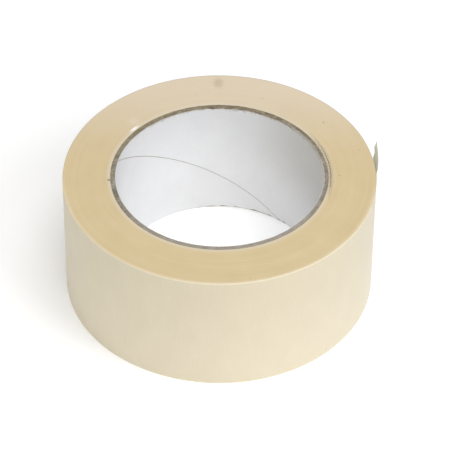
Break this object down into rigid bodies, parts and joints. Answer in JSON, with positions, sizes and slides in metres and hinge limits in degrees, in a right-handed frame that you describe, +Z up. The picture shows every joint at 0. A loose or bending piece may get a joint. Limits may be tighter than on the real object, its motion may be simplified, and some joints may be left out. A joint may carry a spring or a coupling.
{
  "type": "masking tape roll",
  "caption": "Wide roll of cream crepe paper masking tape on a spiral-wound cardboard core with a white-lined bore, one torn corner of the loose end lifted.",
  "frame": {"origin": "centre of the core's bore at the roll's bottom face", "axes": "+Z up along the bore, +X towards the side where the loose end lifts; the strip is wound anticlockwise seen from above"},
  "size_m": [0.116, 0.1149, 0.05],
  "materials": {
    "tape": "matte crepe paper, slightly waxy",
    "core_board": "rough grey-brown board, fibrous cut edge",
    "core_liner": "smooth white paper"
  },
  "bodies": {
    "roll": {"core_liner_ply": "core_liner", "core_inner_ply": "core_board", "core_middle_ply": "core_board", "core_outer_ply": "core_board", "inner_turns": "tape", "wound_turns": "tape", "last_turn": "tape"},
    "loose_end": {"free_end": "tape"},
    "corner": {"lifted_corner": "tape"}
  },
  "joints": [
    {"name": "peel_hinge", "type": "hinge", "parent": "roll", "child": "loose_end", "pos_m": [0.05661, -0.00998, 0.025], "axis": [0, 0, -1], "range_deg": [0, 140]},
    {"name": "corner_fold", "type": "hinge", "parent": "loose_end", "child": "corner", "pos_m": [0.05631, 0.0103, 0.0416], "axis": [-0.1379, 0.7536, -0.6426], "range_deg": [-17.5, 60]}
  ]
}
